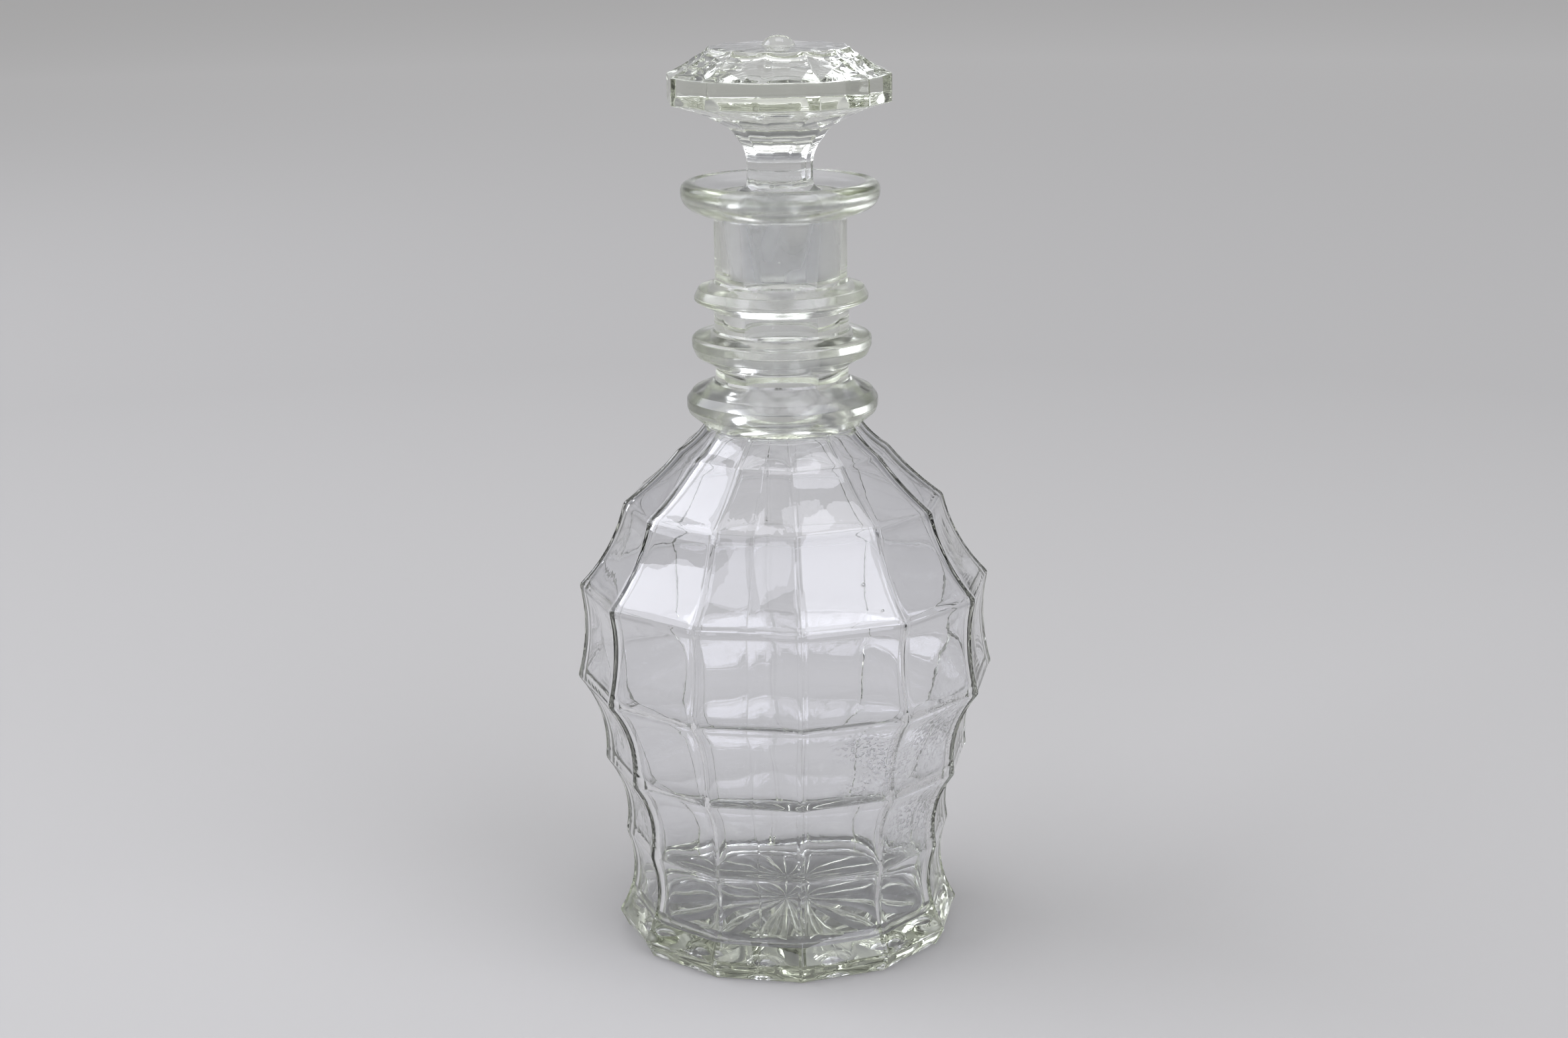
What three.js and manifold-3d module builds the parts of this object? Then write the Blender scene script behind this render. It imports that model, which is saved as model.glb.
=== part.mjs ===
// Port decanter of clear moulded glass, with three neck rings and a mushroom stopper.
// Millimetres, +Z up. The origin is on the table, under the middle of the foot.
//
// The bottle is one piece of glass: a twelve-sided body in rows of hollow panels, a round
// neck with three rings, an everted lip, and a thick base with a star pressed into its
// underside. The stopper is the other piece: a solid twelve-sided mushroom on a ground
// peg that seats in the ground mouth, and lifts straight out of it.

import * as THREE from 'three';
import { mergeVertices } from 'three/addons/utils/BufferGeometryUtils.js';
import Module from 'manifold-3d';

// Pattern of the moulds, shared by the bottle and the stopper
const panelCount = 12;
const stepsPerPanel = 4;
const ridgeSteps = 4;          // steps along an upright ridge, in one row of panels
const innerRidgeSteps = 3;     // the same on the softer inside face
const curveSteps = 4;          // steps along each short curve of the neck and stopper
const capSteps = 2;            // steps along each hollow of the stopper's cap

// Foot and base
const foot = {
  restingRadius: 49.9,         // to a corner of the resting edge
  bevelHeight: 5.5,
  flareRadius: 52.7,           // to a corner of the widest edge of the foot
};
const base = {
  floorThickness: 13,          // at the middle, where the floor inside is domed
  floorEdgeThickness: 7.5,
  floorDomeShare: 0.5,         // where the dome has turned level, from the middle outwards
  floorCornerHeight: 6,        // how far the rounding inside reaches up the wall
  floorCornerWidth: 6,         // and how far it reaches in over the floor
};
const star = {
  rays: 12,
  radius: 39.5,
  centreRadius: 1.2,           // glass left uncut at the middle, where the rays meet
  rayWidth: 12,
  depth: 2.1,
  widestShare: 0.84,           // where a ray is widest, along its length
};

// Rows of panels from the foot up. Each has its height, the corner radius at its top
// edge, how far its upright ridges dip inwards, and how hollow its panels are across,
// which is less than nothing where they swell.
const footRow = { height: 26.5, topRadius: 50.0, dip: 3.4, hollow: 0.5 };
const lowerRow = { height: 23.8, topRadius: 55.7, dip: 2.8, hollow: 0.5 };
const swellRow = { height: 26.5, topRadius: 63.6, dip: 2.9, hollow: 0.5 };
const bellyRow = { height: 29.0, topRadius: 62.2, dip: 1.8, hollow: 0.6 };
const shoulderRow = { height: 25.1, topRadius: 48.2, dip: 2.1, hollow: -0.5 };
const upperRow = { height: 15.6, topRadius: 31.8, dip: 0.7, hollow: 0.3 };
const neckRow = { height: 8.0, topRadius: 23.5, dip: 0.5, hollow: 0.2 };
const panelRows = [footRow, lowerRow, swellRow, bellyRow, shoulderRow, upperRow, neckRow];
const wall = 2.5;              // glass between the outer and the inner corners
const innerSofteningShare = 0.88;   // how much of each dip and hollow the inside face keeps

// Bore of the neck
const bore = {
  radius: 11.2,
  stepHeight: 3.2,             // over which the ground seat runs into the bore
  flareRadius: 16.5,           // of the foot of the flare that opens into the shoulder
  flareRise: 2.2,              // from the inner corner of the shoulder to that foot
  flareHeight: 10.8,
  flareCornerShare: 0.4,       // how far up the flare its curve has turned upright
};

// Neck rings from the lowest up. From its root on the neck each has a bevel, a chamfer and
// its edge, and then a chamfer and a bevel back to the neck above it.
const lowerRing = {
  gapBelow: 0,
  underRadius: 28.0, underHeight: 3.7,
  radius: 28.6, chamferHeight: 1.7, edgeHeight: 2.4,
  upperRadius: 26.8, upperChamferHeight: 2.5,
  neckRadius: 19.9, upperHeight: 3.0,
};
const middleRing = {
  gapBelow: 4.4,
  underRadius: 25.6, underHeight: 3.2,
  radius: 26.8, chamferHeight: 2.7, edgeHeight: 2.4,
  upperRadius: 26.0, upperChamferHeight: 0.9,
  neckRadius: 20.1, upperHeight: 0.9,
};
const upperRing = {
  gapBelow: 6.7,
  underRadius: 25.2, underHeight: 2.5,
  radius: 25.9, chamferHeight: 0.6, edgeHeight: 0.9,
  upperRadius: 24.6, upperChamferHeight: 2.6,
  neckRadius: 19.7, upperHeight: 1.4,
};
const neckRings = [lowerRing, middleRing, upperRing];
const lip = {
  gapBelow: 19.8,
  radius: 29.5,
  underHeight: 7.0,            // from the neck up to the widest line of the lip
  underCornerShare: 0.2,       // how far up its underside has turned outwards
  edgeHeight: 3.3,             // from the widest line up to the crest
  crestRadius: 26.3,
  dishDepth: 3.0,              // from the crest down to the ground mouth
  dishCornerShare: 0.5,        // where the dish turns level, from the crest to the mouth
  mouthRadius: 12.4,
};

// Stopper
const seatClearance = 0.3;     // between the ground peg and the ground mouth
const stopperTurn = -13.7;     // degrees that the stopper is turned in the mouth
const peg = {
  length: 26,
  taper: 1.1,                  // how much narrower its tip is than its top
  tipRounding: 1.5,
};
const waist = {
  radius: 10.0,
  height: 8.4,                 // from the mouth up to where the cap starts to spread
  footHeight: 3.2,             // of the fillet between the peg and the waist
  footCornerShare: 0.33,       // how far up that fillet has turned upright
};
const cap = {
  throatHeight: 7.2,           // from the waist up to the inner ridge of the underside
  throatRadius: 13.2,
  hollowHeight: 3.8,           // up to the outer ridge of the underside
  hollowRadius: 16.6,
  underHeight: 6.6,            // up to the lower edge of the rim
  rimRadius: 33.4,
  rimHeight: 8.2,
  slopeHeight: 4.8,            // from the rim up to the ridge of the top
  slopeRadius: 25.0,
  tableHeight: 3.0,            // from that ridge up to the edge of the table
  tableRadius: 20.8,
  tableRise: 0.2,              // from the edge of the table to the foot of the button
  topHollow: 0.35,             // of the panels of the top and of the ring of small ones
  underHollow: 0.7,            // of the long panels of the underside and the throat
  slopeScallop: 0.9,           // how far the ridge of the top drops between two corners
  tableScallop: 0.4,           // and the same for the edge of the table
};
const button = {
  radius: 5.0,
  height: 3.2,
  crownShare: 0.62,            // how much of its radius the flat of the crown would take
};

const panelAngle = 2 * Math.PI / panelCount;

// A point of a turned profile: radius, height, how far the round section is drawn in to
// a twelve-sided one (0 to 1), how hollow its sides are, and how far their middle drops.
function point(radius, height, facet = 0, hollow = 0, drop = 0) {
  return { radius, height, facet, hollow, drop };
}

// The point at a share of the way from one corner to the next, on a shallow arc that bends
// in towards the axis.
function dippedPoint(from, to, dip, hollow, share) {
  const along = new THREE.Vector2(to.radius - from.radius, to.height - from.height);
  const inward = new THREE.Vector2(-along.y, along.x).normalize();
  if (inward.x > 0) inward.negate();
  const depth = 4 * share * (1 - share);
  return point(
    from.radius + along.x * share + inward.x * dip * depth,
    from.height + along.y * share + inward.y * dip * depth,
    to.facet,
    hollow * depth,
    to.drop * share,
  );
}

// The points of that arc after `from` up to `to`.
function dippedRun(from, to, dip, hollow, steps) {
  return Array.from({ length: steps }, (_, index) => (
    dippedPoint(from, to, dip, hollow, (index + 1) / steps)
  ));
}

// The points after `from` up to `to` on a curve that leaves and arrives along the lines
// through `corner`.
function roundedRun(from, corner, to, steps = curveSteps) {
  const curve = new THREE.QuadraticBezierCurve(
    new THREE.Vector2(from.radius, from.height),
    new THREE.Vector2(corner.radius, corner.height),
    new THREE.Vector2(to.radius, to.height),
  );
  return curve.getPoints(steps).slice(1).map((spot) => point(spot.x, spot.y, to.facet));
}

// Turns a profile that starts and ends on the axis, then draws its faceted stretches in
// to flat or hollow panels, with a ridge at angle zero and at each panel's width from it.
function turnedBody(profile) {
  const segments = panelCount * stepsPerPanel;
  const outline = profile.map(({ radius, height }) => new THREE.Vector2(radius, height));
  const geometry = new THREE.LatheGeometry(outline, segments);
  const places = geometry.attributes.position;
  for (let segment = 0; segment <= segments; segment += 1) {
    const fromMiddle = ((segment % stepsPerPanel) / stepsPerPanel - 0.5) * panelAngle;
    const flatShare = Math.cos(panelAngle / 2) / Math.cos(fromMiddle);
    const hollowShare = 1 - (2 * fromMiddle / panelAngle) ** 2;
    profile.forEach(({ radius, facet, hollow, drop }, row) => {
      if (radius === 0) return;
      const drawnIn = 1 - facet * (1 - flatShare) - hollow * hollowShare / radius;
      const index = segment * profile.length + row;
      places.setX(index, places.getX(index) * drawnIn);
      places.setY(index, places.getY(index) - drop * hollowShare);
      places.setZ(index, places.getZ(index) * drawnIn);
    });
  }
  return closedGeometry(geometry.rotateX(Math.PI / 2));
}

// Welds the seams of a geometry and drops the triangles that the weld closed up.
function closedGeometry(geometry) {
  geometry.deleteAttribute('normal');
  geometry.deleteAttribute('uv');
  const welded = mergeVertices(geometry);
  const corners = welded.index.array;
  const kept = [];
  for (let start = 0; start < corners.length; start += 3) {
    const [a, b, c] = corners.slice(start, start + 3);
    if (a !== b && b !== c && c !== a) kept.push(a, b, c);
  }
  welded.setIndex(kept);
  return welded;
}

const solids = await Module();
solids.setup();

function toSolid(geometry) {
  return new solids.Manifold(new solids.Mesh({
    numProp: 3,
    vertProperties: new Float32Array(geometry.attributes.position.array),
    triVerts: new Uint32Array(geometry.index.array),
  }));
}

function toGeometry(solid) {
  const { vertProperties, triVerts } = solid.getMesh();
  const geometry = new THREE.BufferGeometry();
  geometry.setAttribute('position', new THREE.BufferAttribute(vertProperties, 3));
  geometry.setIndex(new THREE.BufferAttribute(triVerts, 1));
  geometry.computeVertexNormals();
  return geometry;
}

// Corners of the body where two rows of panels meet, from the widest edge of the foot up.
function bodyCorners() {
  const corners = [point(foot.flareRadius, foot.bevelHeight, 1)];
  for (const row of panelRows) {
    corners.push(point(row.topRadius, corners.at(-1).height + row.height, 1));
  }
  return corners;
}

// The same corners moved into the glass by the wall's thickness, square to both rows.
function innerCorners(corners) {
  return corners.map((here, index) => {
    const before = corners[Math.max(index - 1, 0)];
    const after = corners[Math.min(index + 1, corners.length - 1)];
    const along = new THREE.Vector2(after.radius - before.radius, after.height - before.height);
    const inward = new THREE.Vector2(-along.y, along.x).normalize().multiplyScalar(wall);
    return point(here.radius + inward.x, here.height + inward.y, 1);
  });
}

function ridgedRun(corners, softening, steps) {
  return panelRows.flatMap((row, index) => dippedRun(
    corners[index], corners[index + 1], row.dip * softening, row.hollow * softening, steps,
  ));
}

// Corners of a neck ring, from its root on the neck below to its root on the neck above.
function ringCorners(ring, rootHeight, rootRadius) {
  const under = point(ring.underRadius, rootHeight + ring.underHeight);
  const edgeLow = point(ring.radius, under.height + ring.chamferHeight);
  const edgeHigh = point(ring.radius, edgeLow.height + ring.edgeHeight);
  const upper = point(ring.upperRadius, edgeHigh.height + ring.upperChamferHeight);
  const top = point(ring.neckRadius, upper.height + ring.upperHeight);
  return [point(rootRadius, rootHeight), under, edgeLow, edgeHigh, upper, top];
}

// Heights up the neck: the root of each ring, the underside of the lip and its crest.
function neckHeights() {
  let height = bodyCorners().at(-1).height;
  const ringRoots = neckRings.map((ring) => {
    const root = height + ring.gapBelow;
    height = ringCorners(ring, root, ring.neckRadius).at(-1).height;
    return root;
  });
  const lipRoot = height + lip.gapBelow;
  const crest = lipRoot + lip.underHeight + lip.edgeHeight;
  return { ringRoots, lipRoot, crest, mouth: crest - lip.dishDepth };
}

function outerProfile() {
  const corners = bodyCorners();
  const { ringRoots } = neckHeights();
  return [
    point(0, 0),
    point(foot.restingRadius, 0, 1),
    corners[0],
    ...ridgedRun(corners, 1, ridgeSteps),
    ...neckRings.flatMap((ring, index) => {
      const rootRadius = index === 0 ? neckRow.topRadius : neckRings[index - 1].neckRadius;
      return ringCorners(ring, ringRoots[index], rootRadius);
    }),
  ];
}

// The everted lip, over its crest and down its shallow dish to the ground mouth.
function lipProfile() {
  const { lipRoot, crest, mouth } = neckHeights();
  const root = point(upperRing.neckRadius, lipRoot);
  const widest = point(lip.radius, lipRoot + lip.underHeight);
  const top = point(lip.crestRadius, crest);
  const mouthEdge = point(lip.mouthRadius, mouth);
  const underCorner = point(lip.radius, lipRoot + lip.underHeight * lip.underCornerShare);
  const dishWidth = lip.crestRadius - lip.mouthRadius;
  const dishCorner = point(lip.crestRadius - dishWidth * lip.dishCornerShare, mouth);
  return [
    root,
    ...roundedRun(root, underCorner, widest),
    ...roundedRun(widest, point(lip.radius, crest), top),
    ...roundedRun(top, dishCorner, mouthEdge),
  ];
}

// The inside, from the ground mouth down the bore and the soft inner panels to the floor.
function innerProfile() {
  const { mouth } = neckHeights();
  const corners = innerCorners(bodyCorners());
  const seatEnd = point(lip.mouthRadius - peg.taper, mouth - peg.length);
  const boreTop = point(bore.radius, seatEnd.height - bore.stepHeight);
  const flareEnd = point(bore.flareRadius, corners.at(-1).height + bore.flareRise);
  const boreEnd = point(bore.radius, flareEnd.height + bore.flareHeight);
  const flareTurn = flareEnd.height + bore.flareHeight * bore.flareCornerShare;
  return [
    seatEnd,
    boreTop,
    boreEnd,
    ...roundedRun(boreEnd, point(bore.radius, flareTurn), flareEnd),
    ...innerWall(corners),
    ...innerFloor(innerWall(corners).at(-1)),
  ];
}

// The inside of the panels, from the shoulder down to where the wall turns into the floor.
function innerWall(corners) {
  const [lowest, next] = corners;
  const footHeight = base.floorEdgeThickness + base.floorCornerHeight;
  const footShare = (footHeight - lowest.height) / (next.height - lowest.height);
  const { dip, hollow } = footRow;
  const softening = innerSofteningShare;
  const wallFoot = dippedPoint(lowest, next, dip * softening, hollow * softening, footShare);
  const wallRun = ridgedRun(corners, softening, innerRidgeSteps)
    .filter(({ height }) => height > wallFoot.height)
    .reverse();
  return [...wallRun, wallFoot];
}

// The rounding at the foot of the wall, and the domed floor in to the axis.
function innerFloor(wallFoot) {
  const edge = base.floorEdgeThickness;
  const floorEdge = point(wallFoot.radius - base.floorCornerWidth, edge, 1);
  const middle = point(0, base.floorThickness);
  const domeTurn = point(floorEdge.radius * base.floorDomeShare, base.floorThickness);
  return [
    ...roundedRun(wallFoot, point(wallFoot.radius, edge), floorEdge),
    ...roundedRun(floorEdge, domeTurn, middle),
  ];
}

// One ray of the pressed star: a long diamond whose cut is deepest where it is widest.
function starRay(turn) {
  const length = star.radius - star.centreRadius;
  const widest = star.centreRadius + length * star.widestShare;
  const geometry = new THREE.OctahedronGeometry(1);
  const places = geometry.attributes.position;
  for (let index = 0; index < places.count; index += 1) {
    const side = places.getX(index) > 0 ? star.radius - widest : widest - star.centreRadius;
    places.setX(index, places.getX(index) * side);
  }
  geometry.scale(1, star.rayWidth / 2, star.depth).translate(widest, 0, 0).rotateZ(turn);
  return toSolid(closedGeometry(geometry));
}

function bottle() {
  const body = toSolid(turnedBody([...outerProfile(), ...lipProfile(), ...innerProfile()]));
  const rays = Array.from({ length: star.rays }, (_, index) => (
    starRay((index + 0.5) * 2 * Math.PI / star.rays)
  ));
  return toGeometry(rays.reduce((solid, ray) => solid.subtract(ray), body));
}

// The stopper's profile, with height zero at the mouth.
function stopperProfile() {
  const pegTop = point(lip.mouthRadius - seatClearance, 0);
  const tipRadius = pegTop.radius - peg.taper;
  const pegTip = point(tipRadius, peg.tipRounding - peg.length);
  const tipFace = point(tipRadius - peg.tipRounding, -peg.length);
  const waistFoot = point(waist.radius, waist.footHeight, 1);
  const waistTop = point(waist.radius, waist.height, 1);
  const throat = point(cap.throatRadius, waistTop.height + cap.throatHeight, 1);
  const hollow = point(cap.hollowRadius, throat.height + cap.hollowHeight, 1);
  const rimLow = point(cap.rimRadius, hollow.height + cap.underHeight, 1);
  const rimHigh = point(cap.rimRadius, rimLow.height + cap.rimHeight, 1);
  const slope = point(cap.slopeRadius, rimHigh.height + cap.slopeHeight, 1, 0, cap.slopeScallop);
  const table = point(cap.tableRadius, slope.height + cap.tableHeight, 1, 0, cap.tableScallop);
  const buttonFoot = point(button.radius, table.height + cap.tableRise);
  const buttonTop = point(0, buttonFoot.height + button.height);
  return [
    point(0, -peg.length),
    tipFace,
    ...roundedRun(tipFace, point(tipRadius, -peg.length), pegTip),
    pegTop,
    ...roundedRun(
      pegTop, point(waist.radius, waist.footHeight * waist.footCornerShare), waistFoot,
    ),
    waistTop,
    ...dippedRun(waistTop, throat, cap.underHollow, 0, capSteps),
    ...dippedRun(throat, hollow, cap.topHollow, 0, capSteps),
    ...dippedRun(hollow, rimLow, cap.underHollow, cap.topHollow, capSteps),
    rimHigh,
    ...dippedRun(rimHigh, slope, cap.topHollow, cap.topHollow, capSteps),
    ...dippedRun(slope, table, cap.topHollow, cap.topHollow, capSteps),
    buttonFoot,
    ...roundedRun(buttonFoot, point(button.radius * button.crownShare, buttonTop.height), buttonTop),
  ];
}

const glass = new THREE.MeshStandardMaterial({
  name: 'clear_glass',
  color: 0xdfe6df,
  roughness: 0.05,
  metalness: 0,
  transparent: true,
  opacity: 0.35,
});
const stopperGlass = glass.clone();
stopperGlass.name = 'stopper_glass';

const bottleMesh = new THREE.Mesh(bottle(), glass);
bottleMesh.name = 'bottle';

const stopperMesh = new THREE.Mesh(turnedBody(stopperProfile()), stopperGlass);
stopperMesh.name = 'stopper';
stopperMesh.position.z = neckHeights().mouth;
stopperMesh.rotation.z = THREE.MathUtils.degToRad(stopperTurn);

const decanter = new THREE.Group();
decanter.add(bottleMesh, stopperMesh);

export default decanter;
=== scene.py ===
# Port decanter of clear moulded glass, with three neck rings and a mushroom stopper.
# Sizes of the glass are in millimetres and turn to metres where its meshes are made.
# Everything else is in metres.
import math

import bmesh
import bpy
import numpy as np
from mathutils import Matrix, Vector


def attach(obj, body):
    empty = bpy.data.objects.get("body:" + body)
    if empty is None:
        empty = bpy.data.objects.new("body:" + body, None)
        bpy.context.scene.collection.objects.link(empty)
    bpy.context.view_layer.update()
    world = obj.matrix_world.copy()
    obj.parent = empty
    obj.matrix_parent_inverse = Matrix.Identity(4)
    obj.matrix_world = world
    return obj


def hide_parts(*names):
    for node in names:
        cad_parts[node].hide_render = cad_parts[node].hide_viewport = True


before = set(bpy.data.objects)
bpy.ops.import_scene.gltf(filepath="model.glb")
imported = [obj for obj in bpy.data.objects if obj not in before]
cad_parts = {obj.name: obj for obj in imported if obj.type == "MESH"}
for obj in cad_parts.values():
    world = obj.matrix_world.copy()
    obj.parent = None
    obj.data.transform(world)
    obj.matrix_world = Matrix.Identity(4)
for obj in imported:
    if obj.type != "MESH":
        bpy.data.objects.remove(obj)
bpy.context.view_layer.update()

MM = 0.001
TINY = 1e-6

# The moulds' pattern: twelve panels round, with an upright ridge at angle zero
PANELS = 12
PANEL_ANGLE = 2 * math.pi / PANELS
SEAM_ANGLE = -PANEL_ANGLE / 2
# Where a panel is cut up across, as shares of its width, closest where the ridges turn
HALF_PANEL_SHARES = (0, 0.011, 0.022, 0.04, 0.07, 0.12, 0.19, 0.28, 0.39, 0.484)
PANEL_SHARES = (*HALF_PANEL_SHARES, 0.5, *(1 - share for share in HALF_PANEL_SHARES[:0:-1]))

FOOT_RESTING_RADIUS = 49.9
FOOT_BEVEL_HEIGHT = 5.5
FOOT_FLARE_RADIUS = 52.7
FLOOR_THICKNESS = 13.0          # at the middle, where the floor is domed
FLOOR_EDGE = 7.5
FLOOR_CORNER = (6.0, 6.0)       # how far the rounding inside reaches in and up
STAR = {"radius": 39.5, "centre": 1.2, "ray_width": 12.0, "depth": 2.1, "widest_share": 0.84}
STAR_WIDEST = STAR["centre"] + (STAR["radius"] - STAR["centre"]) * STAR["widest_share"]
STAR_ROWS = (11, 6, 3)          # of the mesh, out to the rays' widest, their ends and the rim

# Rows of panels from the foot up: height, corner radius at the top edge, how far the
# upright ridges dip in, and how hollow the panels are across
ROWS = (
    (26.5, 50.0, 3.4, 0.5),
    (23.8, 55.7, 2.8, 0.5),
    (26.5, 63.45, 2.9, 0.5),
    (29.0, 62.2, 1.8, 0.6),
    (25.1, 48.2, 2.1, -0.5),
    (15.6, 31.8, 0.7, 0.3),
    (8.0, 23.5, 0.5, 0.2),
)
WALL = 2.5
SOFTENING_SHARE = 0.88          # of the panels' dip and hollow that is left inside
ROUND_NECK = (17.0, 45.0)       # radii between which the inside turns from round to panels
RIB_HEIGHT = 0.34               # of the thin rib that the mould leaves on an upright ridge
RIB_REACH = 1.15                # to each side of the ridge
SEAM_HEIGHT = 0.1               # where the two halves of the mould met

# The turn of a curve is where its corner lies, as a share of its height, or of its radius
# on the button
BORE_RADIUS = 11.2
BORE_STEP_HEIGHT = 3.2
FLARE = {"radius": 16.5, "rise": 2.2, "height": 10.8, "turn": 0.4}
# Neck rings from the lowest up: the plain neck below each, and the radius of each corner
# of its bevels with its height over the ring's root
RINGS = (
    {"gap": 0.0,
     "corners": ((28.0, 3.7), (28.6, 5.4), (28.6, 7.8), (26.8, 10.3), (19.9, 13.3))},
    {"gap": 4.4,
     "corners": ((25.6, 3.2), (26.8, 5.9), (26.8, 8.3), (26.0, 9.2), (20.1, 10.1))},
    {"gap": 6.7,
     "corners": ((25.2, 2.5), (25.9, 3.1), (25.9, 4.0), (24.6, 6.6), (19.7, 8.0))},
)
UPPER_NECK_RADIUS = RINGS[-1]["corners"][-1][0]
# The lip: the plain neck below it, heights of its under side and its edge, the depth of its
# dish, and radii of its edge, its crest and the mouth
LIP = {"gap": 19.8, "under": 7.0, "under_turn": 0.2, "edge": 3.3, "dish": 3.0,
       "radius": 29.5, "crest": 26.3, "mouth": 12.4}

# Seeds, the air bubbles that can be seen in the front: place and radius
SEEDS = (
    ((18.9, -47.9, 121.7), 0.6),
    ((24.1, -51.2, 114.6), 0.45),
    ((-34.7, -31.0, 11.2), 0.45),
    ((-1.6, -15.6, 210.6), 0.3),
)
SEED_DIVISIONS = 3

SEAT_CLEARANCE = 0.3
STOPPER_TURN = math.radians(-13.7)
PEG = {"length": 26.0, "taper": 1.1, "rounding": 1.5}
WAIST = {"radius": 10.0, "height": 8.4, "foot": 3.2, "foot_turn": 0.33}
# The cap from the waist up: height, radius, dip and hollow of each ring of facets
CAP = {
    "throat": (7.2, 13.2, 0.7, 0.0),
    "hollow": (3.8, 16.6, 0.35, 0.0),
    "under": (6.6, 33.4, 0.7, 0.35),
    "rim": (8.2, 33.4, 0.0, 0.0),
    "slope": (4.8, 25.0, 0.35, 0.35),
    "table_edge": (3.0, 20.8, 0.35, 0.35),
}
SCALLOPS = {"slope": 0.9, "table_edge": 0.4}    # how far an edge drops between two corners
TABLE_RISE = 0.2
BUTTON = {"radius": 5.0, "height": 3.2, "turn": 0.62}
BUTTON_END = 0.3                # how far before the axis the button's curve ends

# The moulded edges are rounded by the fire: how far a rounding reaches from its edge
OUTER_EASE = 0.9
INNER_EASES = ((50.0, 95.0), (4.2, 2.4))    # heights, and the wider rounding inside there
NECK_FOOT_EASE = 2.2            # inside, where the panels end
RING_EASE = 0.35
ROOT_EASE = 1.9                 # where a ring's top runs into the neck
MOUTH_EASE = 0.4
STOPPER_EASE = 0.65             # of the stopper's upright ridges
LARGEST_EASE_SHARE = 0.45       # of the shorter stretch beside an outer corner

CORNER_STEPS = 4
# Stretches of the profiles: the mesh's steps along each, and the ease where it starts
STRETCHES = {
    "foot_bevel": (3, 0.0),
    "row": (10, OUTER_EASE),
    "neck_gap": (3, ROOT_EASE),
    "ring_bevel": (2, RING_EASE),
    "upper_neck": (10, ROOT_EASE),
    "lip_under": (9, 0.8),
    "lip_edge": (7, 0.0),
    "lip_dish": (8, 0.6),
    "seat": (8, MOUTH_EASE),
    "bore_step": (2, 0.3),
    "bore": (8, 0.0),
    "flare": (8, 0.0),
    "neck_foot": (2, 1.5),
    "inner_row": (7, NECK_FOOT_EASE),
    "floor_corner": (9, 0.0),
    "floor": (12, 0.0),
    "peg_end": (6, 0.0),
    "peg_edge": (6, 0.0),
    "peg": (12, 0.0),
    "waist_foot": (10, 0.3),
    "waist": (6, 0.0),
    "throat": (8, 0.4),
    "hollow": (8, 0.4),
    "under": (8, 0.4),
    "rim": (8, 0.4),
    "slope": (8, 0.35),
    "table_edge": (8, 0.35),
    "table": (8, 0.35),
    "button": (10, 0.35),
}
SHARP_ANGLE = math.radians(14)

# Slow ripples in the glass: their length and height
OUTER_RIPPLE = (34, 0.06)
INNER_RIPPLE = (26, 0.16)
STOPPER_RIPPLE = (22, 0.02)

# How far a finish keeps from the edge of its place
FINISH_MARGIN = 0.5
RING_MARGIN = 0.6
PEG_END_MARGIN = 0.2
REST_WEAR = 0.5                 # how ground the resting rim has worn

# Finishes of the glass, with sizes in metres. A range is the part of a noise's values over
# which its finish comes up, and a scale tells how its pattern runs: the lower, the longer
CLEAR_COLOUR = "#fbfbfd"
CLEAR_IOR = 1.53
TINT_COLOUR = "#c7d0a4"
BOTTLE_TINT = 10.0              # density of the tint, to a metre
STOPPER_TINT = 6.0
GROUND_ROUGHNESS = 0.28
GROUND_CLEARNESS = 0.62         # the share of light that ground glass still lets in
PEEL_SIZE = 0.004
PEEL_DEPTH = 0.000015
WEAR_SIZE = 0.011
WEAR_SCALE = (1.0, 1.0, 0.3)    # upright
WEAR_RANGE = (0.43, 0.57)
LEAST_GRINDING = 0.1            # what is left of it where use has polished it
TOOL_LINE_SIZE = 0.0007
TOOL_LINE_DEPTH = 0.00001
TOOL_LINE_SCALE = (0.02, 0.02, 1.0)     # round the neck
SATIN_SHARE = 0.6               # of the ground roughness, on the rings and the lip
CLOUD_SIZE = 0.009
CLOUD_RANGE = (0.35, 0.65)
HAZE_SHARE = 0.3
HAZE = ((0.024, -0.045, 0.050), 0.042)      # place and reach
FLECK_SIZE = 0.0012
FLECK_RANGE = (0.5, 0.62)
FLECK_DEPTH = 0.00009
STAINS = (                                  # place and reach of each
    ((0.014, -0.050, 0.076), 0.009),
    ((0.021, -0.049, 0.073), 0.010),
    ((0.026, -0.047, 0.064), 0.010),
    ((0.016, -0.048, 0.060), 0.007),
    ((0.042, -0.038, 0.072), 0.016),
    ((0.036, -0.033, 0.045), 0.015),
)

# The camera stands in front, a little to the left of the front ridge, and looks down
CAMERA_DISTANCE = 0.813
CAMERA_HEIGHT = 0.340
CAMERA_AZIMUTH = math.radians(4.37)
CAMERA_PITCH = math.radians(14.51)
CAMERA_ROLL = math.radians(0.70)
SENSOR_WIDTH = 36.0             # in millimetres
FOCAL_PIXELS = 4185
IMAGE_WIDTH = 2369

FLOOR_HALF_WIDTH = 6.0
FLOOR_DROP = 0.0002
FLOOR_ROUGHNESS = 0.8
FLOOR_SHADE_REACHES = (0.9, 3.0)    # from the axis, where the near and the far shade lie
FLOOR_SHADES = ((0.0, "#aeadaa"), (1.0, "#d6d5d2"))

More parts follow.
